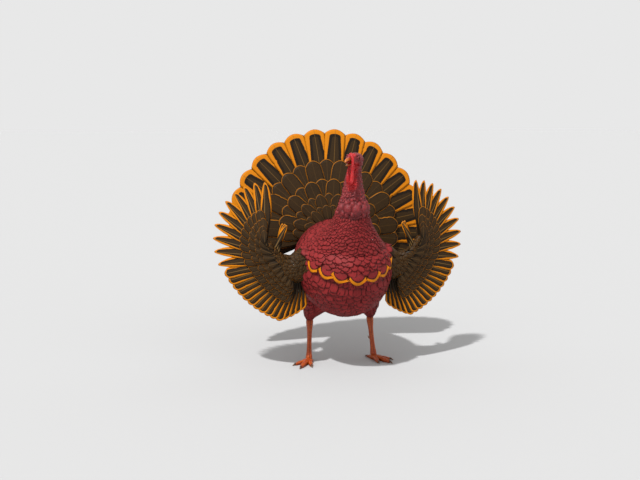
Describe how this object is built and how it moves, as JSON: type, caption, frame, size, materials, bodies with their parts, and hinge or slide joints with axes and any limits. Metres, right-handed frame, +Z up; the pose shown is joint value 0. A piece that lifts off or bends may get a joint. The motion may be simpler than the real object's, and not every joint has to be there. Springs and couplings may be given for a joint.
{
  "type": "domestic turkey",
  "caption": "Life-size domestic turkey tom standing with his tail fanned and both wings raised and spread, bill open, snood draped over the bill.",
  "frame": {"origin": "on the floor under the middle of the bounding box", "axes": "+Z up, +X to the bird's left, -Y the way the breast faces"},
  "size_m": [1.0448, 0.604, 0.951],
  "materials": {
    "body_plumage": "soft maroon contour feathers with gold tips",
    "flight_plumage": "firm dark brown vanes edged in orange gold",
    "bare_skin": "moist pebbled red skin",
    "red_flesh": "soft bright red flesh with fine folds",
    "bill_horn": "satin orange horn",
    "leg_scale": "orange scutes with darker seams",
    "claw_horn": "dark worn horn",
    "tongue": "moist pink red flesh",
    "eye": "wet dark brown iris under a clear cornea"
  },
  "bodies": {
    "root": {"bill_lower": "bill_horn", "bill_upper": "bill_horn", "claw_left_hind": "claw_horn", "claw_left_inner": "claw_horn", "claw_left_middle": "claw_horn", "claw_left_outer": "claw_horn", "claw_right_hind": "claw_horn", "claw_right_inner": "claw_horn", "claw_right_middle": "claw_horn", "claw_right_outer": "claw_horn", "eye_left": "eye", "eye_right": "eye", "foot_left": "leg_scale", "foot_right": "leg_scale", "head": "bare_skin", "neck": "bare_skin", "shank_left": "leg_scale", "shank_right": "leg_scale", "snood": "red_flesh", "spur_left": "claw_horn", "spur_right": "claw_horn", "tail": "flight_plumage", "thigh_left": "body_plumage", "thigh_right": "body_plumage", "tongue": "tongue", "torso": "body_plumage", "wattle": "red_flesh", "wing_left_arm": "flight_plumage", "wing_left_hand": "flight_plumage", "wing_right_arm": "flight_plumage", "wing_right_hand": "flight_plumage"}
  },
  "joints": []
}
